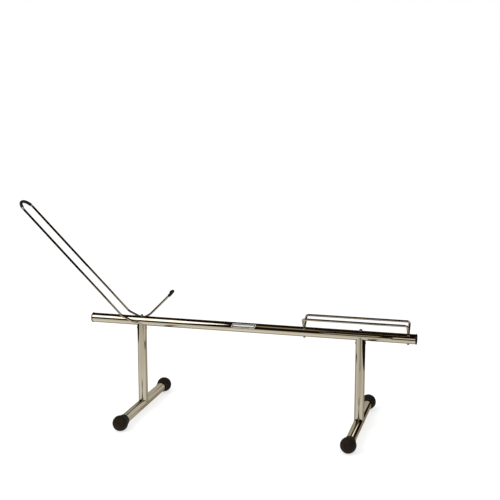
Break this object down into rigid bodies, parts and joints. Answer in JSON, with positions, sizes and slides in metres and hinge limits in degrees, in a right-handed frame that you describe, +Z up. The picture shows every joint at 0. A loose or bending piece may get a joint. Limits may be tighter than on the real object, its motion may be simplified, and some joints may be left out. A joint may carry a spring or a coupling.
{
  "type": "bike display stand",
  "caption": "Chromed floor stand that holds a bicycle upright on a beam, with a fixed cradle for the front tyre and a rocking bar for the rear tyre.",
  "frame": {"origin": "on the floor, under the middle of the overall box", "axes": "+X along the beam towards the front wheel, +Y across it to the side with the hook arm, +Z up"},
  "size_m": [1.6206, 0.561, 0.8495],
  "materials": {
    "chrome": "polished chrome plate",
    "zinc_steel": "zinc plated",
    "black_rubber": "moulded, matt",
    "black_plastic": "moulded, satin"
  },
  "bodies": {
    "stand": {"beam_plug_front": "black_plastic", "beam_plug_rear": "black_plastic", "beam_tube": "chrome", "cradle_nut_front": "zinc_steel", "cradle_nut_rear": "zinc_steel", "cradle_rail_far": "chrome", "cradle_rail_near": "chrome", "cradle_stud_front": "chrome", "cradle_stud_rear": "chrome", "foot_cap_front_far": "black_rubber", "foot_cap_front_near": "black_rubber", "foot_cap_rear_far": "black_rubber", "foot_cap_rear_near": "black_rubber", "foot_tube_front": "chrome", "foot_tube_rear": "chrome", "leg_bolt_front": "zinc_steel", "leg_bolt_rear": "zinc_steel", "leg_dowel_front": "zinc_steel", "leg_dowel_rear": "zinc_steel", "leg_tube_front": "chrome", "leg_tube_rear": "chrome", "leg_washer_front": "zinc_steel", "leg_washer_rear": "zinc_steel", "pivot_sleeve": "chrome"},
    "wheel_holder": {"holder_hoop": "chrome", "holder_hook_arm": "chrome", "holder_axle": "chrome", "hoop_sleeve": "black_rubber", "hook_sleeve": "black_rubber"}
  },
  "joints": [
    {"name": "wheel_holder_pivot", "type": "hinge", "parent": "stand", "child": "wheel_holder", "pos_m": [-0.30574, 0, 0.377], "axis": [0, 1, 0], "range_deg": [-75, 33]}
  ]
}
